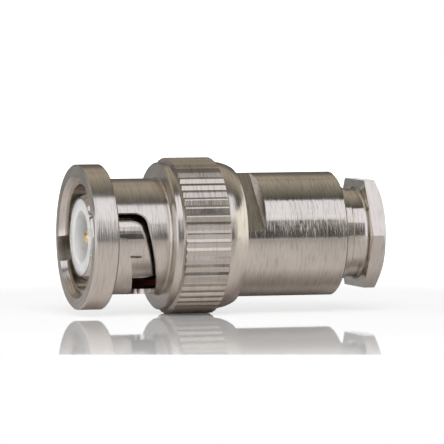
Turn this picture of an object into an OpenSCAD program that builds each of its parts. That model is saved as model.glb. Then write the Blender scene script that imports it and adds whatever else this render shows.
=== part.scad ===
// Bayonet coaxial cable plug of the clamp type, standing on its clamp nut with the mating end up.
// Millimetres. Z runs along the plug's axis, and z = 0 is the rear face of the clamp nut.

/* [Coupling nut] */
// Bore that slides over the mating socket
nut_bore_d = 9.8; // [9.6:0.05:10]
// Wall of the slotted tube
tube_wall = 0.46; // [0.35:0.01:0.6]
// Diameter of the ring round the mouth
ring_d = 13.46; // [13:0.02:14]
// Length of the ring round the mouth
ring_len = 2.33; // [1.8:0.01:3]
// Diameter of the counterbore in the mouth
mouth_d = 11.4; // [11.1:0.05:11.8]
// Depth of the counterbore in the mouth
mouth_depth = 0.57; // [0.3:0.01:1]
// How much the counterbore narrows towards its floor, on the radius
mouth_taper = 0.25; // [0:0.01:0.3]
// Wall left outside the lug grooves in the ring
lug_groove_wall = 0.55; // [0.35:0.05:0.8]
// Diameter of the plain bands before and after the knurl
collar_d = 13.64; // [13.5:0.02:13.9]
// Length of the plain band in front of the knurl
front_band_len = 0.66; // [0.3:0.01:1.2]
// Length of the plain band behind the knurl
rear_band_len = 0.15; // [0.05:0.01:0.5]
// Length of the rounded rear end
dome_len = 1.59; // [1.3:0.01:1.8]
// Radius of the rounded rear end, seen in section
dome_r = 3.05; // [2.6:0.05:3.6]
// Radius of the fillet where the tube meets the collar
collar_fillet = 0.2; // [0.1:0.05:0.8]
// Thickness of the inner lip at the rear
lip_t = 1.07; // [0.8:0.01:1.3]

/* [Knurl] */
// Diameter over the knurl
knurl_d = 14.5; // [14.2:0.05:15]
// Length of the knurl, with its two chamfers
knurl_len = 4.6; // [3.5:0.05:5.5]
// Number of straight teeth
knurl_count = 56; // [40:2:72]
// Depth of the teeth, which lean like those of a saw
knurl_depth = 0.14; // [0.06:0.01:0.2]
// Width of the steep side of each tooth
knurl_steep_w = 0.27; // [0.1:0.01:0.35]
// Width of the crest of each tooth
knurl_crest_w = 0.08; // [0.04:0.01:0.15]
// Direction of the first groove about the axis
knurl_angle = 0.9; // [-3:0.1:3]

/* [Bayonet slots] */
// Width of the slots
slot_w = 2.36; // [2.1:0.02:2.6]
// Tube left between the ring and the start of a ramp
hook_w = 0.89; // [0.5:0.01:1.4]
// Axial rise of a ramp over its whole turn
ramp_rise = 1.69; // [1.2:0.01:2.1]
// Turn from the lug's entry to its resting place
ramp_turn = 90; // [70:1:100]
// How far the lug drops back at the end of the ramp
detent_drop = 0.4; // [0.2:0.05:0.7]
// Tube left between the end of a slot and the collar
slot_end_wall = 0.5; // [0.3:0.01:1]
// Direction of the first lug groove about the axis
slot_angle = -76; // [-180:1:180]

/* [Outer contact] */
// Outside diameter of the spring sleeve
sleeve_od = 8.1; // [7.9:0.02:8.3]
// Inside diameter of the spring sleeve
sleeve_id = 7.1; // [6.9:0.02:7.3]
// How far the sleeve's root stands out, under the gasket
root_step = 0.2; // [0.16:0.01:0.3]
// How far the sleeve stands back from the coupling nut's mouth
sleeve_recess = 0.48; // [0.2:0.02:1]
// Number of slits in the sleeve
slit_count = 6; // [4:1:8]
// Width of each slit
slit_w = 0.25; // [0.15:0.01:0.4]
// Length of each slit
slit_len = 4.83; // [3.5:0.01:6]
// Length of the bevel that thins the sleeve towards its front edge
tip_len = 0.5; // [0.2:0.05:0.8]
// Wall left at the sleeve's front edge
tip_wall = 0.12; // [0.08:0.01:0.2]
// Direction of the first slit about the axis
slit_angle = 5; // [0:1:60]
// Diameter of the flange that the coupling nut pulls on
flange_d = 12.44; // [12.1:0.02:12.6]
// Thickness of the flange
flange_t = 1; // [0.7:0.05:1.4]
// Diameter of the neck that carries the washers
neck_d = 10.2; // [9.8:0.05:10.6]
// Diameter of the spigot pressed into the plug body
spigot_d = 7.4; // [7.1:0.05:7.6]
// Bore of the flange, the neck and the spigot
rear_bore_d = 6.24; // [5.9:0.02:6.5]
// Depth of the front insulator's seat below the flange's front face
seat_depth = 0.5; // [0.3:0.05:0.7]

/* [Spring and thrust washers] */
// Room for the two wave washers
spring_space = 1.5; // [1.2:0.05:1.8]
// Thickness of a wave washer
wave_t = 0.25; // [0.15:0.01:0.35]
// Waves round a wave washer
wave_count = 3; // [2:1:4]
// Thickness of the thrust washer
thrust_t = 0.5; // [0.3:0.05:0.8]

/* [Plug body] */
// Outside diameter of the body
body_d = 11.52; // [11.3:0.02:11.7]
// Length of the body
body_len = 10.93; // [10.6:0.01:12]
// Distance across the wrench flats
flats_af = 9; // [8.8:0.05:9.6]
// Length of the wrench flats
flats_len = 2.02; // [1.5:0.01:3]
// How far the wrench flats reach under the coupling nut
flats_under = 0.17; // [0.1:0.01:0.5]
// Lean of the wall that ends each wrench flat
flats_lean = 10; // [0:1:30]
// Direction of the first wrench flat about the axis
flats_angle = -45; // [-90:1:90]
// Diameter of the chamber that holds the clamp parts
chamber_d = 7.8; // [7.6:0.02:8]
// Thickness of the inner web
web_t = 0.6; // [0.4:0.05:0.9]
// Hole in the inner web
web_hole_d = 5.2; // [4.8:0.05:5.6]

/* [Clamp nut] */
// Distance across the flats of the hexagon
hex_af = 10; // [9.6:0.05:10.4]
// Thickness of the hexagon
hex_h = 1.45; // [1.2:0.05:2]
// Diameter over the thread
thread_d = 8.64; // [8.5:0.02:8.8]
// Length of the thread
thread_len = 3.4; // [3.2:0.05:3.6]
// Diameter of the relief between thread and hexagon
relief_d = 8.3; // [8:0.02:8.4]
// Length of the relief between thread and hexagon
relief_len = 1.45; // [1.3:0.05:1.6]
// Radius of the fillet under the hexagon
relief_fillet = 0.3; // [0.1:0.05:0.5]
// Bore for the cable
cable_bore_d = 5.4; // [5.2:0.05:5.6]
// How far the nut is backed off from the plug body
backed_off = 2.47; // [2.2:0.01:2.8]
// Travel of the nut until the cable is clamped
clamp_travel = 1.85; // [1.6:0.05:2]

/* [Cable clamp parts] */
// Thickness of the slip washer
slip_t = 0.5; // [0.3:0.05:0.8]
// Bore of the slip washer
slip_bore_d = 5.8; // [5.7:0.05:6.2]
// Length of the cable gasket
cable_gasket_len = 2.2; // [1.8:0.05:2.4]
// Bore of the cable gasket and the braid clamp
jacket_bore_d = 5; // [4.8:0.05:5.05]
// Depth of the groove in the cable gasket
groove_depth = 0.5; // [0.3:0.05:0.7]
// Length of the braid clamp in front of the cable gasket
braid_len = 1.4; // [1.2:0.05:1.6]
// Thickness of the braid clamp's flange
braid_flange_t = 0.45; // [0.3:0.05:0.6]

/* [Contact and insulators] */
// Diameter of the contact pin
pin_d = 1.35; // [1.3:0.01:1.4]
// Diameter of the contact inside the front insulator
shank_d = 1.7; // [1.5:0.05:2]
// How far the pin's tip stands back from the front insulator
pin_recess = 0.35; // [0.1:0.05:0.8]
// Hollow in the front insulator
hollow_d = 4.9; // [4.8:0.02:5.1]
// Depth of that hollow
hollow_depth = 5.3; // [4.8:0.1:6]
// Diameter of the contact's collar
contact_collar_d = 2.4; // [2.2:0.05:2.6]
// Thickness of the contact's collar
contact_collar_t = 1; // [0.6:0.05:1.4]
// Diameter of the contact's solder cup
cup_d = 1.9; // [1.8:0.05:2]
// Length of the solder cup behind the inner web
cup_len = 2.7; // [2:0.05:3]
// Bore of the solder cup
cup_bore_d = 1; // [0.9:0.05:1.2]

/* [Interface gasket] */
// Thickness of the gasket at the root of the sleeve
face_gasket_t = 0.8; // [0.6:0.05:1.2]

/* [Clearances] */
// Radial play of what turns or slides in use
running_gap = 0.05; // [0.02:0.01:0.1]
// Radial play of the coupling nut over the body and its flange
nut_gap = 0.08; // [0.05:0.01:0.1]
// Play between pieces that are fitted together for good
fit_gap = 0.02; // [0.01:0.01:0.05]
// Chamfer on the outer edges
edge = 0.12; // [0.05:0.01:0.2]

/* [Hidden] */
$fn = 96;
over = 1;
nickel = [0.74, 0.73, 0.71];
gold = [0.86, 0.68, 0.32];
bronze = [0.72, 0.52, 0.32];
white_resin = [0.95, 0.95, 0.94];
red_silicone = [0.5, 0.17, 0.11];
black_rubber = [0.09, 0.09, 0.09];

bore_r = nut_bore_d / 2;
tube_r = bore_r + tube_wall;
ring_r = ring_d / 2;
collar_r = collar_d / 2;
knurl_r = knurl_d / 2;
body_r = body_d / 2;
lip_r = body_r + nut_gap;
flange_r = flange_d / 2;
cavity_r = flange_r + nut_gap;
chamber_r = chamber_d / 2;
thread_r = thread_d / 2;
thread_bore_r = thread_r + running_gap;
sleeve_r = sleeve_od / 2;
sleeve_root_r = sleeve_r + root_step;
stack_r = chamber_r - running_gap;
cable_r = cable_bore_d / 2;
jacket_r = jacket_bore_d / 2;
hex_corner_r = hex_af / 2 / cos(30);

// Places along the coupling nut, measured back from its front face
slot_start = ring_len + hook_w + slot_w / 2;
slot_end = slot_start + ramp_rise;
collar_at = slot_end + slot_w / 2 + slot_end_wall;
knurl_at = collar_at + front_band_len;
dome_at = knurl_at + knurl_len + rear_band_len;
nut_len = dome_at + dome_len;
cavity_len = flange_t + spring_space + thrust_t;
lip_at = nut_len - lip_t;
shoulder_at = lip_at - cavity_len;

// Heights of the pieces above the clamp nut's rear face
neck_top = hex_h + relief_len + thread_len;
slip_top = neck_top + slip_t;
cable_gasket_top = slip_top + cable_gasket_len;
braid_top = cable_gasket_top + braid_len;
web_z = braid_top + clamp_travel + running_gap;
web_top = web_z + web_t;
thread_top = neck_top + clamp_travel + 4 * running_gap;
body_rear = hex_h + backed_off;
body_front = body_rear + body_len;
thrust_z = body_front + running_gap;
spring_z = thrust_z + thrust_t;
flange_z = spring_z + spring_space;
flange_top = flange_z + flange_t;
nut_front = flange_top + shoulder_at;
nut_rear = nut_front - nut_len;
sleeve_front = nut_front - sleeve_recess;
seat_z = flange_top - seat_depth;
hollow_z = sleeve_front - hollow_depth;
pin_top = sleeve_front - pin_recess;
cup_z = web_z - cup_len;
flats_top = nut_rear + flats_under;

// Solid turned from a section whose second coordinate is the distance behind the nut's front face
module behind_nut_front() {
    translate([0, 0, nut_front]) mirror([0, 0, 1]) rotate_extrude() children();
}

// Plain ring with both outer edges broken
module plain_ring(r_in, r_out, h, bevel) {
    rotate_extrude() polygon([[r_in, 0], [r_out - bevel, 0], [r_out, bevel],
                              [r_out, h - bevel], [r_out - bevel, h], [r_in, h]]);
}

// Section of the coupling nut, before the slots and the knurl are cut
module nut_section() {
    rise = knurl_r - collar_r;
    difference() {
        union() {
            polygon([[0, 0], [ring_r - edge, 0], [ring_r, edge],
                     [ring_r, ring_len - edge], [ring_r - edge, ring_len], [tube_r, ring_len],
                     [tube_r, collar_at], [collar_r - edge, collar_at], [collar_r, collar_at + edge],
                     [collar_r, knurl_at], [knurl_r, knurl_at + rise / 2],
                     [knurl_r, knurl_at + knurl_len - rise / 2], [collar_r, knurl_at + knurl_len],
                     [collar_r, dome_at], [0, dome_at]]);
            intersection() {
                translate([collar_r - dome_r, dome_at]) circle(dome_r);
                translate([0, dome_at - over]) square([collar_r, dome_len + over]);
            }
            difference() {
                translate([tube_r - fit_gap, collar_at - collar_fillet])
                    square([collar_fillet + fit_gap, collar_fillet + fit_gap]);
                translate([tube_r + collar_fillet, collar_at - collar_fillet]) circle(collar_fillet);
            }
        }
        polygon([[0, -over], [mouth_d / 2, -over], [mouth_d / 2, 0],
                 [mouth_d / 2 - mouth_taper, mouth_depth], [0, mouth_depth]]);
        translate([0, -over]) square([bore_r, nut_len]);
        translate([0, shoulder_at]) square([cavity_r, cavity_len]);
        translate([0, lip_at - over]) square([lip_r, lip_t + 2 * over]);
    }
}

// Straight grooves of the knurl, each with a steep side and a gentle one
module knurl_grooves() {
    half_groove = (PI * knurl_d / knurl_count - knurl_crest_w) / 2;
    for (i = [0 : knurl_count - 1])
        rotate([0, 0, knurl_angle + i * 360 / knurl_count])
            translate([knurl_r, 0, nut_front - knurl_at - knurl_len])
                linear_extrude(knurl_len)
                    polygon([[over, -half_groove], [0, -half_groove],
                             [-knurl_depth, knurl_steep_w - half_groove],
                             [0, half_groove], [over, half_groove]]);
}

// Radial cut as wide as a lug, at a height and a direction about the axis
module lug_cut(z, turn) {
    rotate([0, 0, turn]) translate([0, 0, z]) rotate([0, 90, 0])
        cylinder(d = slot_w, h = ring_r - lug_groove_wall);
}

// Ramp of a slot: a band of even width that turns about the axis as it runs back
module ramp_cut() {
    steps = 30;
    r_in = sleeve_r;
    r_out = ring_r - lug_groove_wall;
    half = slot_w / 2;
    corners = [[r_in, half], [r_out, half], [r_out, -half], [r_in, -half]];
    points = [for (i = [0 : steps], c = corners)
        let (a = -ramp_turn * i / steps, z = nut_front - slot_start - ramp_rise * i / steps)
        [c[0] * cos(a), c[0] * sin(a), z + c[1]]];
    sides = [for (i = [0 : steps - 1], k = [0 : 3])
        let (p = 4 * i + k, q = 4 * i + (k + 1) % 4)
        each [[p, q, q + 4], [p, q + 4, p + 4]]];
    last = 4 * steps;
    ends = [[3, 2, 1, 0], [last, last + 1, last + 2, last + 3]];
    polyhedron(points = points, faces = concat(sides, ends));
}

// One bayonet slot with its lug groove, its ramp and its resting place
module bayonet_slot() {
    start_z = nut_front - slot_start;
    end_z = nut_front - slot_end;
    translate([0, -slot_w / 2, start_z])
        cube([ring_r - lug_groove_wall, slot_w, slot_start + over]);
    lug_cut(start_z, 0);
    ramp_cut();
    lug_cut(end_z, -ramp_turn);
    lug_cut(end_z + detent_drop, -ramp_turn);
}

module coupling_nut() {
    color(nickel) difference() {
        behind_nut_front() nut_section();
        knurl_grooves();
        for (turn = [0, 180]) rotate([0, 0, slot_angle + turn]) bayonet_slot();
    }
}

module outer_contact() {
    inner_r = sleeve_id / 2;
    root_top = flange_top + face_gasket_t;
    rear_r = rear_bore_d / 2;
    color(nickel) difference() {
        rotate_extrude() polygon([
            [rear_r, web_top], [spigot_d / 2 - edge, web_top], [spigot_d / 2, web_top + edge],
            [spigot_d / 2, body_front], [neck_d / 2, body_front], [neck_d / 2, flange_z],
            [flange_r - edge, flange_z], [flange_r, flange_z + edge], [flange_r, flange_top - edge],
            [flange_r - edge, flange_top], [sleeve_root_r, flange_top], [sleeve_root_r, root_top],
            [sleeve_r, root_top], [sleeve_r, sleeve_front - tip_len],
            [inner_r + tip_wall, sleeve_front], [inner_r, sleeve_front], [inner_r, seat_z],
            [rear_r, seat_z]]);
        for (i = [0 : slit_count - 1])
            rotate([0, 0, slit_angle + i * 360 / slit_count])
                translate([inner_r - over, -slit_w / 2, sleeve_front - slit_len])
                    cube([sleeve_r - inner_r + 2 * over, slit_w, slit_len + over]);
    }
}

// Cut for one wrench flat, seen along the flat as a block whose lower side leans outwards
module flat_cut() {
    depth = body_r - flats_af / 2 + over;
    flats_rear = flats_top - flats_len;
    rotate([90, 0, 0]) linear_extrude(body_d, center = true)
        translate([flats_af / 2, 0])
            polygon([[0, flats_rear], [depth, flats_rear - depth * tan(flats_lean)],
                     [depth, flats_top], [0, flats_top]]);
}

module plug_body() {
    entry = 2 * edge;
    color(nickel) difference() {
        translate([0, 0, body_rear]) plain_ring(0, body_r, body_len, edge);
        translate([0, 0, body_rear - over]) cylinder(r = chamber_r, h = web_z - body_rear + over);
        translate([0, 0, body_rear - over]) cylinder(r = thread_bore_r, h = thread_top - body_rear + over);
        translate([0, 0, body_rear]) cylinder(r1 = thread_bore_r + entry, r2 = thread_bore_r, h = entry);
        translate([0, 0, web_z - over]) cylinder(d = web_hole_d, h = web_t + 2 * over);
        translate([0, 0, web_top]) cylinder(r = spigot_d / 2 + fit_gap, h = body_front - web_top + over);
        for (turn = [0, 180]) rotate([0, 0, flats_angle + turn]) flat_cut();
    }
}

module front_insulator() {
    outer_r = sleeve_id / 2 - fit_gap;
    inner_r = shank_d / 2 + fit_gap;
    color(white_resin) rotate_extrude() polygon([
        [inner_r, seat_z], [outer_r, seat_z], [outer_r, sleeve_front - edge],
        [outer_r - edge, sleeve_front], [hollow_d / 2 + edge, sleeve_front],
        [hollow_d / 2, sleeve_front - edge], [hollow_d / 2, hollow_z], [inner_r, hollow_z]]);
}

module rear_insulator() {
    outer_r = rear_bore_d / 2 - fit_gap;
    collar_hole_r = contact_collar_d / 2 + fit_gap;
    collar_z = seat_z - contact_collar_t;
    color(white_resin) rotate_extrude() polygon([
        [cup_d / 2 + fit_gap, web_top], [outer_r, web_top], [outer_r, seat_z],
        [collar_hole_r, seat_z], [collar_hole_r, collar_z], [cup_d / 2 + fit_gap, collar_z]]);
}

// Centre contact: a round-nosed pin, a thicker shank, a collar between the insulators, a solder cup
module center_contact() {
    pin_r = pin_d / 2;
    collar_z = seat_z - contact_collar_t;
    nose = 0.8 * pin_r;
    color(gold) difference() {
        rotate_extrude() {
            polygon([[0, cup_z], [cup_d / 2, cup_z], [cup_d / 2, collar_z],
                     [contact_collar_d / 2, collar_z], [contact_collar_d / 2, seat_z],
                     [shank_d / 2, seat_z], [shank_d / 2, hollow_z], [pin_r, hollow_z],
                     [pin_r, pin_top - nose], [0, pin_top - nose]]);
            translate([0, pin_top - nose]) intersection() {
                translate([pin_r - nose, 0]) circle(nose);
                square([pin_r, nose]);
            }
            translate([0, pin_top - nose]) square([pin_r - nose, nose]);
        }
        translate([0, 0, cup_z - over]) cylinder(d = cup_bore_d, h = cup_len + over);
        translate([0, -cup_bore_d / 2, cup_z + cup_len / 4]) cube([cup_d, cup_bore_d, cup_len / 2]);
    }
}

module face_gasket() {
    color(red_silicone) translate([0, 0, flange_top])
        plain_ring(sleeve_root_r + fit_gap, bore_r - 2 * running_gap, face_gasket_t, edge);
}

// Spring washer whose flat ring is bent into even waves
module wave_washer(z, phase) {
    steps = 16 * wave_count;
    r_in = neck_d / 2 + running_gap;
    r_out = cavity_r - 2 * running_gap;
    swing = (spring_space / 2 - wave_t) / 2 - fit_gap;
    corners = [[r_in, 0], [r_out, 0], [r_out, wave_t], [r_in, wave_t]];
    points = [for (i = [0 : steps - 1], c = corners)
        let (a = 360 * i / steps)
        [c[0] * cos(a), c[0] * sin(a), z + fit_gap + swing * (1 + cos(wave_count * a + phase)) + c[1]]];
    faces = [for (i = [0 : steps - 1], k = [0 : 3])
        let (p = 4 * i + k, q = 4 * i + (k + 1) % 4, turn = 4 * steps)
        each [[p, (q + 4) % turn, (p + 4) % turn], [p, q, (q + 4) % turn]]];
    color(bronze) polyhedron(points = points, faces = faces);
}

module rear_wave_washer() { wave_washer(spring_z, 0); }
module front_wave_washer() { wave_washer(spring_z + spring_space / 2, 180); }

module thrust_washer() {
    color(bronze) translate([0, 0, thrust_z])
        plain_ring(neck_d / 2 + running_gap, cavity_r - running_gap, thrust_t, edge / 2);
}

// Braid clamp: a cone for the cable's braid, a flange and a ridge that bites the cable gasket
module braid_clamp() {
    ridge_z = cable_gasket_top - groove_depth + fit_gap;
    ridge_r = (jacket_r + stack_r) / 2;
    flange_end = cable_gasket_top + braid_flange_t;
    cone_r = stack_r - braid_flange_t;
    color(nickel) rotate_extrude() polygon([
        [ridge_r, ridge_z], [stack_r, cable_gasket_top + fit_gap], [stack_r, flange_end],
        [cone_r, flange_end], [jacket_r + braid_flange_t, braid_top], [jacket_r, braid_top],
        [jacket_r, cable_gasket_top + fit_gap]]);
}

module cable_gasket() {
    ridge_r = (jacket_r + stack_r) / 2;
    color(black_rubber) rotate_extrude() polygon([
        [jacket_r, slip_top], [stack_r, slip_top], [stack_r, cable_gasket_top],
        [ridge_r, cable_gasket_top - groove_depth], [jacket_r, cable_gasket_top]]);
}

module slip_washer() {
    color(nickel) translate([0, 0, neck_top])
        plain_ring(slip_bore_d / 2, stack_r, slip_t, edge / 2);
}

// Clamp nut: a hexagon chamfered at the rear, a relief with a fillet, and the threaded end
module clamp_nut() {
    chamfer_h = (hex_corner_r - hex_af / 2) * tan(30);
    color(nickel) difference() {
        union() {
            intersection() {
                rotate([0, 0, 30]) cylinder(r = hex_corner_r, h = hex_h, $fn = 6);
                rotate_extrude() polygon([[0, 0], [hex_af / 2, 0], [hex_corner_r, chamfer_h],
                                          [hex_corner_r, hex_h], [0, hex_h]]);
            }
            rotate_extrude() difference() {
                polygon([[0, hex_h / 2], [relief_d / 2 + relief_fillet, hex_h / 2],
                         [relief_d / 2 + relief_fillet, hex_h + relief_fillet],
                         [relief_d / 2, hex_h + relief_fillet], [relief_d / 2, hex_h + relief_len - edge],
                         [thread_r, hex_h + relief_len], [thread_r, neck_top - 2 * edge],
                         [thread_r - 2 * edge, neck_top], [0, neck_top]]);
                translate([relief_d / 2 + relief_fillet, hex_h + relief_fillet]) circle(relief_fillet);
            }
        }
        translate([0, 0, -over]) cylinder(r = cable_r, h = neck_top + 2 * over);
        cylinder(r1 = cable_r + 2 * edge, r2 = cable_r, h = 2 * edge);
    }
}

coupling_nut();
outer_contact();
plug_body();
front_insulator();
rear_insulator();
center_contact();
face_gasket();
front_wave_washer();
rear_wave_washer();
thrust_washer();
braid_clamp();
cable_gasket();
slip_washer();
clamp_nut();
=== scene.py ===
"""Looks of a bayonet coaxial cable plug: nickel plate over turned brass, white insulators, gold pin.

The plug stands along Z with its mating end up. In the photograph it lies on its side, so the camera
is rolled: +X is up in the picture, -Y comes towards the camera and -Z runs to the right.
"""
import math

import bmesh
import bpy
from mathutils import Matrix, Vector


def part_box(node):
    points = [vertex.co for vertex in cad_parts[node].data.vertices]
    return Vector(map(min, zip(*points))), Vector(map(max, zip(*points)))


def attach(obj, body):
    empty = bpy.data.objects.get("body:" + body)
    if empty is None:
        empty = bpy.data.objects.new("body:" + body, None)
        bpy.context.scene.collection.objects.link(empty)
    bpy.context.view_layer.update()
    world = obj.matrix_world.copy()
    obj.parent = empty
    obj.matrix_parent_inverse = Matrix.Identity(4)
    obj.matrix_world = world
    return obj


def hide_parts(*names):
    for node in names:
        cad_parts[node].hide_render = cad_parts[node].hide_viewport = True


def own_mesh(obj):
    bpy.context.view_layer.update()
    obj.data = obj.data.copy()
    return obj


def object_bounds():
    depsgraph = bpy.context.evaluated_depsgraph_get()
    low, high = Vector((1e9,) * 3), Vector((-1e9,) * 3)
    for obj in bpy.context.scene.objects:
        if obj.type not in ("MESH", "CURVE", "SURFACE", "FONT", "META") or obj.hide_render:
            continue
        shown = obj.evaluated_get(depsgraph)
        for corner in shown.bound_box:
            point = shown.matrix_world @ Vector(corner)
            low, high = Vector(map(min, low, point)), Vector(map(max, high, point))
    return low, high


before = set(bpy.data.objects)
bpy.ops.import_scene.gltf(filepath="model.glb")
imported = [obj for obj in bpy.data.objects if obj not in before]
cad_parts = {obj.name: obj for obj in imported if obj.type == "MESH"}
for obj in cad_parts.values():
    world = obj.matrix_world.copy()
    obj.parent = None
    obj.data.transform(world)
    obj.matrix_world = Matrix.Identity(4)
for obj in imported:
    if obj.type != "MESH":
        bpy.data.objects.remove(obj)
cad_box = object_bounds()

MM = 0.001
PLUG_LENGTH = cad_box[1].z / MM
KNURL_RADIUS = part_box("coupling_nut")[1].x / MM
PLUG_MIDDLE = PLUG_LENGTH / 2

# Corners nearer than this many metres are one, and an edge with a sharper turn than this stays sharp
MERGE_GAP = 1e-7
SHARP_TURN = math.radians(28)

# The clamp nut's thread, in mm. It begins inside the body, so that at rest none of it shows.
THREAD_FIRST = 4.6
THREAD_PITCH = 0.75
THREAD_DEPTH = 0.4
THREAD_ROOT_FLAT = 0.1
THREAD_CREST_FLAT = 0.1
THREAD_OVERCUT = 0.1
THREAD_STEPS = 64

# The wave washers: their thickness and rolled edge in mm, their waves, and the steps that make them
WASHER_THICKNESS = 0.25
WASHER_EDGE = 0.06
WASHER_EDGE_STEPS = 3
WASHER_WAVES = 3
WASHER_STEPS = 180

# The camera's picture and focal length in pixels, and its sensor in mm
IMAGE_SIDE = 444
FOCAL_PIXELS = 6500
SENSOR_WIDTH = 36

# How the plug and the camera are turned, and the camera's place in mm from the centre of the plug's
# mating face
PLUG_TURN = math.radians(17.226)
CAMERA_DOWN = math.radians(2.973)
CAMERA_RIGHT = 13.544
CAMERA_AWAY = 599.5
CAMERA_HEIGHT = 32.54
CAMERA_NEAREST = 10

# The floor board, in mm from the same centre
FLOOR_FRONT = -50
FLOOR_BACK = 900
FLOOR_HALF_WIDTH = 700
FLOOR_TINT = (0.88, 0.88, 0.88, 1)
FLOOR_TINT_IN_GLOSS = (0.9, 0.86, 0.86, 1)

# The camera sees the board lifted towards white. The lift grows over a span, in mm from the plug's
# middle.
FLOOR_LIFT = 0.07
FLOOR_FAR_LIFT = 0.75
LIFT_SPAN = (30, 110)

# In gloss the board has two dark strips of painted shadow, one on either side of the plug's axis. They
# stand for the plug's shadow on the board as the plug's metal reflects it. Each begins and ends over a span
# in mm from the axis, and both end over one near the plug's mouth.
PAINTED_SHADOW_TINT = (0.08, 0.03, 0.0, 1)
PAINTED_SHADOW_STRENGTH = 0.5
PAINTED_SHADOW_INNER_SPAN = (1, 3)
PAINTED_SHADOW_OUTER_SPAN = (3.2, 7)
PAINTED_SHADOW_END_SPAN = (21, 26)

# The studio round the plug, in mm and degrees: tones at angles about its axis, from the near side (0)
# over the top (90). The white apron in front carries the floor on.
CEILING_RADIUS = 250
CEILING_REACH = 1100
CEILING_STEP = 2
CEILING_TONES = [
    (-40, (0.62, 0.62, 0.62)),
    (-6, (0.62, 0.62, 0.62)),
    (-4, (0.09, 0.09, 0.085)),
    (66, (0.09, 0.09, 0.085)),
    (74, (0.13, 0.125, 0.115)),
    (84, (0.23, 0.215, 0.185)),
    (94, (0.33, 0.305, 0.26)),
    (111, (0.47, 0.425, 0.36)),
    (118, (0.49, 0.44, 0.37)),
    (124, (0.40, 0.355, 0.30)),
    (130, (0.49, 0.435, 0.365)),
    (138, (0.40, 0.35, 0.30)),
    (147, (0.20, 0.18, 0.155)),
    (174, (0.09, 0.085, 0.08)),
]

# The softbox hangs just inside the ceiling, in parts: where each begins and ends along the plug, in
# mm, and round it, in degrees. The last part is a second, smaller one over the left.
SOFTBOX_RADIUS = 245
SOFTBOX_TONE = (1.16, 1.17, 1.29)
SOFTBOX_STEPS = 12
SOFTBOX_PARTS = [
    (-125, -100, 41, 67.5),
    (-100, -86, 34, 67.5),
    (-86, -50, 28, 67.5),
    (-50, -40, 17, 67.5),
    (-40, -20, 9, 67.5),
    (-20, 0, 0, 67.5),
    (0, CEILING_REACH, -14, 67.5),
    (130, 230, 76, 110),
]

# How many flat strips make up a curved card
CARD_STEPS = 8

# The world's light on matt surfaces
SOFT_LIGHT = 0.245

NICKEL_TINT = (0.66, 0.61, 0.545, 1)
# Painted shade over the knurled band: the nickel's colour there is multiplied by this tint
KNURL_PAINTED_SHADE = (0.92, 0.915, 0.91, 1)
GOLD_TINT = (0.9, 0.68, 0.34, 1)
PALE_GOLD_TINT = (0.95, 0.77, 0.45, 1)
BRONZE_TINT = (0.62, 0.38, 0.2, 1)
BROWNED_TINT = (0.42, 0.22, 0.1, 1)
RESIN_TINT = (0.97, 0.975, 0.99, 1)
SILICONE_TINT = (0.5, 0.06, 0.03, 1)
SILICONE_BLOOM = (0.3, 0.06, 0.04, 1)
RUBBER_TINT = (0.03, 0.03, 0.03, 1)
RUBBER_BLOOM = (0.06, 0.06, 0.058, 1)

# The part of a noise's range over which one look gives way to another
GROOVE_SPAN = (0.3, 0.5)
CLOUD_SPAN = (0.3, 0.7)
BLOOM_SPAN = (0.35, 0.7)
DUST_SPAN = (0.3, 0.8)


def studio_direction(right, away, up):
    """A direction given as the camera's stand sees it, in the plug's own axes."""
    across = away * math.cos(PLUG_TURN) - right * math.sin(PLUG_TURN)
    along = right * math.cos(PLUG_TURN) + away * math.sin(PLUG_TURN)
    return Vector((up, across, -along))


def studio_point(right, away, up):
    """A place in mm from the centre of the mating face, in metres in the plug's own axes."""
    return (studio_direction(right, away, up) + Vector((0, 0, PLUG_LENGTH))) * MM


def radius_of(point):
    """How far a mesh's corner lies from the plug's axis, in metres."""
    return math.hypot(point.co.x, point.co.y)


def linked_object(name, data):
    """A new object in the scene."""
    made = bpy.data.objects.new(name, data)
    bpy.context.scene.collection.objects.link(made)
    return made


class Link:
    """A node's socket that can be used in sums like a number."""

    def __init__(self, nodes, socket):
        self.nodes = nodes
        self.socket = socket

    def __neg__(self):
        return self.nodes.maths("MULTIPLY", self, -1)

    def __add__(self, other):
        return self.nodes.maths("ADD", self, other)

    def __sub__(self, other):
        return self.nodes.maths("SUBTRACT", self, other)

    def __mul__(self, other):
        return self.nodes.maths("MULTIPLY", self, other)

    def __truediv__(self, other):
        return self.nodes.maths("DIVIDE", self, other)

    def __radd__(self, other):
        return self.nodes.maths("ADD", other, self)

    def __rsub__(self, other):
        return self.nodes.maths("SUBTRACT", other, self)

    def __rmul__(self, other):
        return self.nodes.maths("MULTIPLY", other, self)

    def __rtruediv__(self, other):
        return self.nodes.maths("DIVIDE", other, self)


class Nodes:
    """A node tree under construction."""

    def __init__(self, tree):
        self.tree = tree

    def node(self, kind, settings=None, inputs=None, output=0):
        """Adds a node: its settings are set first, then its sockets are filled or linked."""
        made = self.tree.nodes.new(kind)
        for name, value in (settings or {}).items():
            setattr(made, name, value)
        for name, value in (inputs or {}).items():
            if isinstance(value, Link):
                self.tree.links.new(value.socket, made.inputs[name])
            else:
                made.inputs[name].default_value = value
        return Link(self, made.outputs[output]) if made.outputs else made

    def maths(self, operation, *terms):
        """One sum or function of numbers."""
        return self.node("ShaderNodeMath", {"operation": operation}, dict(enumerate(terms)))

    def axis_of(self, vector, axis):
        """One of a vector's three numbers."""
        return self.node("ShaderNodeSeparateXYZ", {}, {0: vector}, output=axis)

    def join(self, x, y, z):
        """A vector from its three numbers."""
        return self.node("ShaderNodeCombineXYZ", {}, {0: x, 1: y, 2: z})


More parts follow.
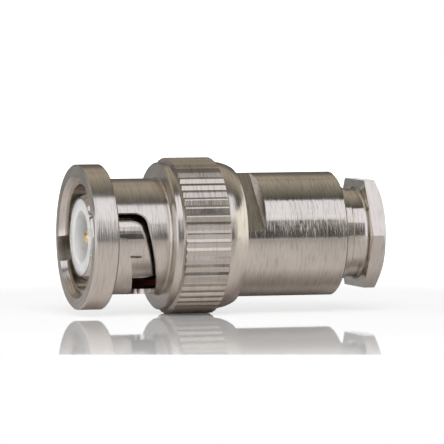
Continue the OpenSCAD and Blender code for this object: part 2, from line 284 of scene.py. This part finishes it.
class Finish(Nodes):
    """A material or a world under construction."""

    def __init__(self, name, kind=bpy.data.materials):
        self.owner = kind.new(name)
        self.owner.use_nodes = True
        super().__init__(self.owner.node_tree)
        self.tree.nodes.clear()

    def place(self):
        """The point's X, Y and Z in mm."""
        point = self.node("ShaderNodeTexCoord", output="Object")
        return [self.axis_of(point, axis) / MM for axis in range(3)]

    def noise(self, x, y, z, detail):
        """Smooth noise, mostly from 0.3 to 0.7, whose lumps are about 1 across."""
        inputs = {"Vector": self.join(x, y, z), "Scale": 1.0, "Detail": detail}
        return self.node("ShaderNodeTexNoise", {"noise_dimensions": "3D"}, inputs)

    def ease(self, value, span, start=0.0, end=1.0):
        """Goes smoothly from one number to another while a value rises through a span."""
        inputs = {"Value": value, "From Min": span[0], "From Max": span[1], "To Min": start, "To Max": end}
        return self.node("ShaderNodeMapRange", {"interpolation_type": "SMOOTHSTEP"}, inputs)

    def blend(self, factor, first, second, how="MIX"):
        """Goes from a first colour to a second, or to the product of both."""
        inputs = {"Factor": factor, "A": first, "B": second}
        return self.node("ShaderNodeMix", {"data_type": "RGBA", "blend_type": how}, inputs, output="Result")

    def bump(self, height):
        """The normal of a surface whose height is given in mm."""
        return self.node("ShaderNodeBump", {}, {"Height": height, "Distance": MM, "Strength": 1.0})

    def surface(self, **sockets):
        """Ends the material in a Principled shader."""
        named = {name.replace("_", " "): value for name, value in sockets.items()}
        self.cover(self.node("ShaderNodeBsdfPrincipled", {}, named))
        return self.owner

    def cover(self, shader, output="ShaderNodeOutputMaterial"):
        """Ends the tree in a shader."""
        self.node(output, {}, {"Surface": shader})


class Shape(Nodes):
    """A geometry tree under construction, with its sizes as named inputs."""

    def __init__(self, name, sizes):
        super().__init__(bpy.data.node_groups.new(name, "GeometryNodeTree"))
        sides = self.tree.interface
        sides.new_socket("Start", in_out="INPUT", socket_type="NodeSocketGeometry")
        self.sizes = {
            sides.new_socket(size, in_out="INPUT", socket_type="NodeSocketFloat").identifier: value
            for size, value in sizes.items()}
        sides.new_socket("Result", in_out="OUTPUT", socket_type="NodeSocketGeometry")
        self.entry = self.tree.nodes.new("NodeGroupInput")

    def given(self, name):
        """One of the tree's own inputs."""
        return Link(self, self.entry.outputs[name])

    def section(self, corners):
        """A bar's section, from its four corners as (out, up) pairs."""
        points = {"Point %d" % (index + 1): self.join(out, up, 0.0)
                  for index, (out, up) in enumerate(corners)}
        return self.node("GeometryNodeCurvePrimitiveQuadrilateral", {"mode": "POINTS"}, points)

    def sweep(self, path, section):
        """A closed bar along a curve about the Z axis."""
        upright = self.node("GeometryNodeSetCurveNormal", {"mode": "Z_UP"}, {"Curve": path})
        inputs = {"Curve": upright, "Profile Curve": section, "Fill Caps": True}
        return self.node("GeometryNodeCurveToMesh", {}, inputs)

    def resize(self, geometry, factor):
        """Makes a shape larger or smaller about the origin."""
        return self.node("GeometryNodeTransform", {}, {"Geometry": geometry, "Scale": [factor] * 3})

    def cut(self, solid, tool):
        """Takes a tool's shape out of a solid, in mm, because in metres the cut leaves open edges."""
        settings = {"operation": "DIFFERENCE", "solver": "MANIFOLD"}
        inputs = {"Mesh 1": self.resize(solid, 1 / MM), "Mesh 2": self.resize(tool, 1 / MM)}
        return self.resize(self.node("GeometryNodeMeshBoolean", settings, inputs), MM)

    def make_piece(self, name, result, material, start=None):
        """Runs the tree, on a mesh where one is given, and makes a plain piece of the result."""
        whole = self.node("GeometryNodeRealizeInstances", {}, {"Geometry": result})
        painted = self.node("GeometryNodeSetMaterial", {}, {"Geometry": whole, "Material": material})
        self.node("NodeGroupOutput", {}, {"Result": painted})
        rough = linked_object(name + "_rough", start or bpy.data.meshes.new(name + "_rough"))
        modifier = rough.modifiers.new("shape", "NODES")
        modifier.node_group = self.tree
        for identifier, value in self.sizes.items():
            modifier[identifier] = value
        evaluated = rough.evaluated_get(bpy.context.evaluated_depsgraph_get())
        mesh = bpy.data.meshes.new_from_object(evaluated)
        bpy.data.objects.remove(rough)
        mesh.name = name
        mesh.shade_smooth()
        mesh.set_sharp_from_angle(angle=SHARP_TURN)
        return linked_object(name, mesh)


def merged_mesh(node):
    """A copy of a CAD node's mesh whose triangles share their corners."""
    joined = bmesh.new()
    joined.from_mesh(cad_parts[node].data)
    bmesh.ops.remove_doubles(joined, verts=joined.verts, dist=MERGE_GAP)
    joined.verts.index_update()
    points = [corner.co.copy() for corner in joined.verts]
    faces = [[corner.index for corner in face.verts] for face in joined.faces]
    joined.free()
    mesh = bpy.data.meshes.new(node + "_merged")
    mesh.from_pydata(points, [], faces)
    return mesh


def make_threaded_clamp_nut(material):
    """The clamp nut with its thread: a right-handed V groove wound round its front end."""
    plain_nut = merged_mesh("clamp_nut")
    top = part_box("clamp_nut")[1].z
    shape = Shape("thread", {
        "Crest radius": max(radius_of(point) for point in plain_nut.vertices
                            if point.co.z > THREAD_FIRST * MM),
        "Depth": THREAD_DEPTH * MM,
        "Half width": (THREAD_PITCH - THREAD_CREST_FLAT) / 2 * MM,
        "Half root": THREAD_ROOT_FLAT / 2 * MM,
        "Overcut": THREAD_OVERCUT * MM,
        "First": THREAD_FIRST * MM,
        "Climb": top - (THREAD_FIRST - THREAD_PITCH) * MM,
        "Pitch": THREAD_PITCH * MM})
    crest = shape.given("Crest radius")
    depth = shape.given("Depth")
    overcut = shape.given("Overcut")
    climb = shape.given("Climb")
    spiral = shape.node("GeometryNodeCurveSpiral", {}, {
        "Resolution": THREAD_STEPS, "Rotations": climb / shape.given("Pitch"),
        "Start Radius": crest, "End Radius": crest, "Height": climb, "Reverse": True})
    path = shape.node("GeometryNodeTransform", {}, {
        "Geometry": spiral, "Translation": shape.join(0.0, 0.0, shape.given("First"))})
    root = shape.given("Half root")
    slope = (shape.given("Half width") - root) / depth
    mouth = shape.given("Half width") + slope * overcut
    section = shape.section([(overcut, -mouth), (overcut, mouth), (-depth, root), (-depth, -root)])
    threaded = shape.cut(shape.given("Start"), shape.sweep(path, section))
    nut = shape.make_piece("threaded_clamp_nut", threaded, material, plain_nut)
    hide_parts("clamp_nut")
    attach(nut, "clamp")


def make_wave_washer(node, phase, material):
    """A spring washer with even waves and rolled edges."""
    low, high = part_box(node)
    shape = Shape(node + "_waves", {
        "Inner radius": min(radius_of(point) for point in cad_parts[node].data.vertices),
        "Outer radius": high.x,
        "Thickness": WASHER_THICKNESS * MM,
        "Edge": WASHER_EDGE * MM,
        "Middle": (low.z + high.z) / 2,
        "Swing": (high.z - low.z - WASHER_THICKNESS * MM) / 2,
        "Waves": WASHER_WAVES,
        "Phase": phase})
    inner = shape.given("Inner radius")
    outer = shape.given("Outer radius")
    half = (outer - inner) / 2
    thick = shape.given("Thickness") / 2
    ring = shape.node("GeometryNodeCurvePrimitiveCircle", {}, {
        "Resolution": WASHER_STEPS, "Radius": (inner + outer) / 2})
    strip = shape.section([(-half, -thick), (half, -thick), (half, thick), (-half, thick)])
    rolled = shape.node("GeometryNodeFilletCurve", {"mode": "POLY"}, {
        "Curve": strip, "Count": WASHER_EDGE_STEPS, "Radius": shape.given("Edge")})
    point = shape.node("GeometryNodeInputPosition")
    angle = shape.maths("ARCTAN2", shape.axis_of(point, 1), shape.axis_of(point, 0))
    wave = shape.maths("COSINE", angle * shape.given("Waves") + shape.given("Phase"))
    rise = shape.given("Middle") + wave * shape.given("Swing")
    waved = shape.node("GeometryNodeSetPosition", {}, {
        "Geometry": shape.sweep(ring, rolled), "Offset": shape.join(0.0, 0.0, rise)})
    washer = shape.make_piece("sprung_" + node, waved, material)
    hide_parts(node)
    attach(washer, "plug")
    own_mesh(washer)


def lathe_coordinates(finish):
    """Direction about the axis, and the distance that the lathe tool fed along the surface, in mm.
    The tool feeds along the plug on a side face, and across it on an end face."""
    above_zero = 0.001
    side_to_end = (0.55, 0.8)
    x, y, z = finish.place()
    radius = finish.maths("SQRT", x * x + y * y) + above_zero
    normal = finish.node("ShaderNodeTexCoord", output="Normal")
    facing = finish.maths("ABSOLUTE", finish.axis_of(normal, 2))
    end_face = finish.ease(facing, side_to_end)
    feed = z * (1 - end_face) + radius * end_face
    return x / radius, y / radius, feed


def scaled(tint, share):
    """A colour made darker."""
    return tuple(share * part for part in tint[:3]) + (1,)


def turned_nickel(name, roughness=0.13, spread=0.7, line_width=0.14, line_depth=0.012,
                  line_turns=3.0, groove_painted_shade=0.84, knurl=None):
    """Nickel plate over turned brass. Tool lines run round the part, each a short way, and spread the gloss
    along the plug. Their grooves are coloured darker, as painted shade. From one end of the knurl to the
    other the colour is a little darker, as painted shade."""
    cloud_turns = 2.2
    cloud_width = 2.4
    cloud_shade = 0.9
    roughness_swing = 0.2
    finish = Finish(name)
    across, up, feed = lathe_coordinates(finish)
    line = finish.noise(across * line_turns, up * line_turns, feed / line_width, detail=1.0)
    cloud = finish.noise(across * cloud_turns, up * cloud_turns, feed / cloud_width, detail=3.0)
    # Painted shade: the colour is darker in the tool grooves, where the line noise is low.
    land = finish.ease(line, GROOVE_SPAN)
    bright = finish.blend(land, scaled(NICKEL_TINT, groove_painted_shade), NICKEL_TINT)
    dull = finish.blend(land, scaled(NICKEL_TINT, groove_painted_shade * cloud_shade),
                        scaled(NICKEL_TINT, cloud_shade))
    colour = finish.blend(finish.ease(cloud, CLOUD_SPAN), dull, bright)
    # Painted shade: over the knurled band the colour is multiplied by a darker tint.
    if knurl:
        blur = 0.1
        z = finish.place()[2]
        past_rear, past_front = [finish.ease(z, (end - blur, end + blur)) for end in knurl]
        colour = finish.blend(past_rear * (1 - past_front), colour, KNURL_PAINTED_SHADE, "MULTIPLY")
    return finish.surface(
        Base_Color=colour,
        Metallic=1.0,
        Roughness=finish.ease(cloud, CLOUD_SPAN, roughness * (1 - roughness_swing),
                              roughness * (1 + roughness_swing)),
        Anisotropic=spread,
        Anisotropic_Rotation=0.25,
        Normal=finish.bump(line * line_depth))


def plated_gold():
    """Gold plate over a turned pin."""
    line_width = 0.06
    line_depth = 0.0012
    finish = Finish("gold_plate")
    across, up, feed = lathe_coordinates(finish)
    line = finish.noise(across, up, feed / line_width, detail=1.0)
    return finish.surface(
        Base_Color=finish.blend(line, GOLD_TINT, PALE_GOLD_TINT),
        Metallic=1.0,
        Roughness=0.22,
        Anisotropic=0.4,
        Normal=finish.bump(line * line_depth))


def rolled_bronze():
    """Spring bronze strip with a grain from rolling, and a brown bloom."""
    grain_size = (0.05, 1.2, 0.4)
    grain_depth = 0.002
    bloom_size = 1.5
    finish = Finish("rolled_bronze")
    place = finish.place()
    grain = finish.noise(*(axis / size for axis, size in zip(place, grain_size)), detail=2.0)
    bloom = finish.noise(*(axis / bloom_size for axis in place), detail=3.0)
    return finish.surface(
        Base_Color=finish.blend(finish.ease(bloom, BLOOM_SPAN), BRONZE_TINT, BROWNED_TINT),
        Metallic=1.0,
        Roughness=finish.ease(grain, CLOUD_SPAN, 0.25, 0.4),
        Normal=finish.bump(grain * grain_depth))


def turned_resin():
    """White fluoropolymer, waxy, with faint lines from turning."""
    line_turns = 0.8
    line_width = 0.12
    line_depth = 0.0015
    cloud_turns = 1.5
    cloud_width = 1.8
    cloud_shade = 0.95
    light_reach = 4
    finish = Finish("turned_resin")
    across, up, feed = lathe_coordinates(finish)
    line = finish.noise(across * line_turns, up * line_turns, feed / line_width, detail=2.0)
    cloud = finish.noise(across * cloud_turns, up * cloud_turns, feed / cloud_width, detail=2.0)
    clouded = finish.ease(cloud, BLOOM_SPAN)
    return finish.surface(
        Base_Color=finish.blend(clouded, RESIN_TINT, scaled(RESIN_TINT, cloud_shade)),
        Roughness=0.42,
        IOR=1.35,
        Subsurface_Weight=1.0,
        Subsurface_Radius=(1, 1, 1),
        Subsurface_Scale=light_reach * MM,
        Normal=finish.bump(line * line_depth))


def moulded_rubber(name, tint, bloom_tint, roughness):
    """Moulded rubber with a dusty bloom and a faint grain."""
    grain_size = 0.07
    grain_depth = 0.004
    bloom_size = 1.1
    roughness_swing = 0.08
    finish = Finish(name)
    place = finish.place()
    grain = finish.noise(*(axis / grain_size for axis in place), detail=2.0)
    bloom = finish.noise(*(axis / bloom_size for axis in place), detail=3.0)
    return finish.surface(
        Base_Color=finish.blend(finish.ease(bloom, DUST_SPAN), tint, bloom_tint),
        Roughness=finish.ease(grain, CLOUD_SPAN, roughness - roughness_swing,
                              roughness + roughness_swing),
        Normal=finish.bump(grain * grain_depth))


def knurl_ends():
    """Where the knurl begins and ends along the plug, in mm, from the corners at its teeth's tips."""
    tip_share = 0.995
    tip_radius = tip_share * KNURL_RADIUS * MM
    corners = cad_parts["coupling_nut"].data.vertices
    heights = [point.co.z / MM for point in corners if radius_of(point) > tip_radius]
    return min(heights), max(heights)


def dress(material, *nodes):
    """Gives CAD nodes their material."""
    for node in nodes:
        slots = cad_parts[node].data.materials
        for index in range(len(slots)):
            slots[index] = material


def dress_plug():
    """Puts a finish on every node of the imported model, and adds the pieces that stand for some."""
    dress(turned_nickel("nickel_coupling", roughness=0.2, spread=0.4, line_depth=0.008,
                        knurl=knurl_ends()), "coupling_nut")
    dress(turned_nickel("nickel_body", line_width=0.11, line_depth=0.014, line_turns=4.0,
                        groove_painted_shade=0.78), "plug_body")
    clamp_nickel = turned_nickel("nickel_clamp", line_depth=0.01)
    dress(clamp_nickel, "clamp_nut")
    dress(turned_nickel("nickel_sleeve", roughness=0.1, line_depth=0.002), "outer_contact")
    dress(turned_nickel("nickel_inner", roughness=0.22), "braid_clamp", "slip_washer")
    dress(plated_gold(), "center_contact")
    dress(turned_resin(), "front_insulator", "rear_insulator")
    bronze = rolled_bronze()
    dress(bronze, "front_wave_washer", "rear_wave_washer", "thrust_washer")
    dress(moulded_rubber("red_silicone", SILICONE_TINT, SILICONE_BLOOM, 0.42), "face_gasket")
    dress(moulded_rubber("black_rubber", RUBBER_TINT, RUBBER_BLOOM, 0.55), "cable_gasket")
    make_threaded_clamp_nut(clamp_nickel)
    make_wave_washer("rear_wave_washer", 0.0, bronze)
    make_wave_washer("front_wave_washer", math.pi, bronze)


def stage_mesh(name, points, faces, material):
    """A piece of the studio, which isn't part of the plug."""
    mesh = bpy.data.meshes.new(name)
    mesh.from_pydata(points, [], faces)
    mesh.materials.append(material)
    piece = linked_object(name, mesh)
    return piece


def strip_faces(steps, first=0):
    """The faces of a strip whose corners are listed in pairs, one pair for each crossing line."""
    return [(row, row + 1, row + 3, row + 2) for row in range(first, first + 2 * steps, 2)]


def hide_from_all_but_reflections(card):
    """A card shows in metal and gloss only, and neither lights nor shades what is matt."""
    card.visible_camera = False
    card.visible_diffuse = False
    card.visible_shadow = False
    card.visible_transmission = False
    card.visible_volume_scatter = False


def card_glow(name, tone):
    """A card of one tone."""
    finish = Finish(name)
    finish.cover(finish.node("ShaderNodeEmission", {}, {"Color": (*tone, 1), "Strength": 1.0}))
    return finish.owner


def make_floor():
    """A glossy white board. It is one-sided, so that a camera behind it sees the plug too."""
    finish = Finish("white_board")
    y, z = finish.place()[1:]
    off_axis = finish.maths("ABSOLUTE", y)
    beside = finish.ease(off_axis, PAINTED_SHADOW_INNER_SPAN) * finish.ease(off_axis, PAINTED_SHADOW_OUTER_SPAN, 1, 0)
    # Painted shadow: only glossy rays see the board darkened, in two strips beside the plug's axis.
    painted_shadow_strips = beside * finish.ease(z, PAINTED_SHADOW_END_SPAN, 1, 0)
    mirrored = finish.node("ShaderNodeLightPath", output="Is Glossy Ray")
    board = finish.blend(mirrored, FLOOR_TINT, FLOOR_TINT_IN_GLOSS)
    tint = finish.blend(painted_shadow_strips * mirrored * PAINTED_SHADOW_STRENGTH, board, PAINTED_SHADOW_TINT)
    gloss = finish.node("ShaderNodeBsdfPrincipled", {}, {"Base Color": tint, "Roughness": 0.03, "IOR": 1.5})
    along = z - PLUG_MIDDLE
    away = finish.maths("SQRT", along * along + y * y)
    seen = finish.node("ShaderNodeLightPath", output="Is Camera Ray")
    level = seen * finish.ease(away, LIFT_SPAN, FLOOR_LIFT, FLOOR_FAR_LIFT)
    lift = finish.node("ShaderNodeEmission", {}, {"Color": (1, 1, 1, 1), "Strength": level})
    lit = finish.node("ShaderNodeAddShader", {}, {0: gloss, 1: lift})
    clear = finish.node("ShaderNodeBsdfTransparent")
    behind = finish.node("ShaderNodeNewGeometry", output="Backfacing")
    finish.cover(finish.node("ShaderNodeMixShader", {}, {0: behind, 1: lit, 2: clear}))
    corners = [(-FLOOR_HALF_WIDTH, FLOOR_FRONT), (FLOOR_HALF_WIDTH, FLOOR_FRONT),
               (FLOOR_HALF_WIDTH, FLOOR_BACK), (-FLOOR_HALF_WIDTH, FLOOR_BACK)]
    points = [studio_point(right, away, -KNURL_RADIUS) for right, away in corners]
    stage_mesh("floor", points, [(0, 1, 2, 3)], finish.owner)


def round_the_plug(radius, angle, z):
    """A place at an angle about the plug's axis: 0 is the near side and 90 is above."""
    around = math.radians(angle)
    return Vector((radius * math.sin(around), -radius * math.cos(around), z)) * MM


def ceiling_tone(angle):
    """The ceiling's colour at an angle, between the two nearest tones."""
    pairs = zip(CEILING_TONES, CEILING_TONES[1:])
    (low, before), (high, after) = next(pair for pair in pairs if angle <= pair[1][0])
    share = (angle - low) / (high - low)
    return [a + (b - a) * share for a, b in zip(before, after)]


def make_ceiling():
    """A curved ceiling along the plug: dark where the softbox hangs, then a warm grey vault."""
    finish = Finish("ceiling_glow")
    tone = finish.node("ShaderNodeAttribute", {"attribute_name": "tone"}, output="Color")
    finish.cover(finish.node("ShaderNodeEmission", {}, {"Color": tone, "Strength": 1.0}))
    angles = range(CEILING_TONES[0][0], CEILING_TONES[-1][0] + 1, CEILING_STEP)
    points = [round_the_plug(CEILING_RADIUS, angle, z)
              for angle in angles for z in (-CEILING_REACH, CEILING_REACH)]
    ceiling = stage_mesh("ceiling", points, strip_faces(len(angles) - 1), finish.owner)
    tones = ceiling.data.color_attributes.new("tone", "FLOAT_COLOR", "POINT")
    for index, angle in enumerate(angles):
        for side in range(2):
            tones.data[2 * index + side].color = (*ceiling_tone(angle), 1)
    hide_from_all_but_reflections(ceiling)


def make_softbox():
    """The large soft light. It reaches lower on the side of the plug's mouth."""
    points = []
    faces = []
    for z_from, z_to, low, high in SOFTBOX_PARTS:
        faces += strip_faces(SOFTBOX_STEPS, len(points))
        for step in range(SOFTBOX_STEPS + 1):
            angle = low + (high - low) * step / SOFTBOX_STEPS
            points += [round_the_plug(SOFTBOX_RADIUS, angle, z) for z in (z_from, z_to)]
    softbox = stage_mesh("softbox", points, faces, card_glow("softbox_glow", SOFTBOX_TONE))
    hide_from_all_but_reflections(softbox)


def make_card(name, tone, azimuth, width, low, high, distance):
    """An upright curved card round the plug. Azimuth 0 is straight behind it, and 90 to the right."""
    points = []
    for step in range(CARD_STEPS + 1):
        turn = math.radians(azimuth - width / 2 + width * step / CARD_STEPS)
        for height in (high, low):
            up = distance * math.tan(math.radians(height))
            points.append(studio_point(distance * math.sin(turn), distance * math.cos(turn), up))
    card = stage_mesh(name, points, strip_faces(CARD_STEPS), card_glow(name + "_glow", tone))
    hide_from_all_but_reflections(card)


def make_lamp(name, watts, size, right, away, up):
    """A square lamp that lights the matt parts, aimed at the plug's middle."""
    data = bpy.data.lights.new(name, "AREA")
    data.energy = watts
    data.shape = "SQUARE"
    data.size = size * MM
    lamp = linked_object(name, data)
    lamp.location = studio_point(right, away, up)
    aim = Vector((0, 0, PLUG_MIDDLE * MM)) - lamp.location
    lamp.rotation_mode = "QUATERNION"
    lamp.rotation_quaternion = aim.to_track_quat("-Z", "Y")
    lamp.visible_glossy = False
    lamp.visible_camera = False


def make_world():
    """White to the eye, in gloss and through glass, and a plain soft light for the rest."""
    sky = Finish("studio", bpy.data.worlds)
    rays = [sky.node("ShaderNodeLightPath", output="Is " + ray + " Ray")
            for ray in ("Camera", "Glossy", "Transmission")]
    white = sky.maths("MAXIMUM", sky.maths("MAXIMUM", rays[0], rays[1]), rays[2])
    level = white * (1 - SOFT_LIGHT) + SOFT_LIGHT
    shine = sky.node("ShaderNodeBackground", {}, {"Color": (1, 1, 1, 1), "Strength": level})
    sky.cover(shine, "ShaderNodeOutputWorld")
    bpy.context.scene.world = sky.owner


def make_camera():
    """The photograph's camera: far off, a little above, and turned from the plug's side."""
    data = bpy.data.cameras.new("camera")
    data.sensor_width = SENSOR_WIDTH
    data.lens = FOCAL_PIXELS / IMAGE_SIDE * SENSOR_WIDTH
    data.clip_start = CAMERA_NEAREST * MM
    camera = linked_object("camera", data)
    right = studio_direction(1, 0, 0)
    up = studio_direction(0, math.sin(CAMERA_DOWN), math.cos(CAMERA_DOWN))
    back = studio_direction(0, -math.cos(CAMERA_DOWN), math.sin(CAMERA_DOWN))
    turn = Matrix((right, up, back)).transposed().to_4x4()
    place = studio_point(CAMERA_RIGHT, -CAMERA_AWAY, CAMERA_HEIGHT)
    camera.matrix_world = Matrix.Translation(place) @ turn
    bpy.context.scene.camera = camera


make_camera()
make_world()
make_floor()
make_ceiling()
make_softbox()
make_card("left_card", (0.27, 0.27, 0.27), azimuth=-30, width=26, low=-3, high=40, distance=130)
make_card("right_card", (1.25, 1.22, 1.16), azimuth=88, width=86, low=-3, high=33, distance=180)
make_lamp("key_lamp", watts=0.42, size=160, right=40, away=-170, up=180)
make_lamp("fill_lamp", watts=0.3, size=90, right=-200, away=-70, up=25)
dress_plug()

bpy.context.scene.view_settings.view_transform = "Standard"
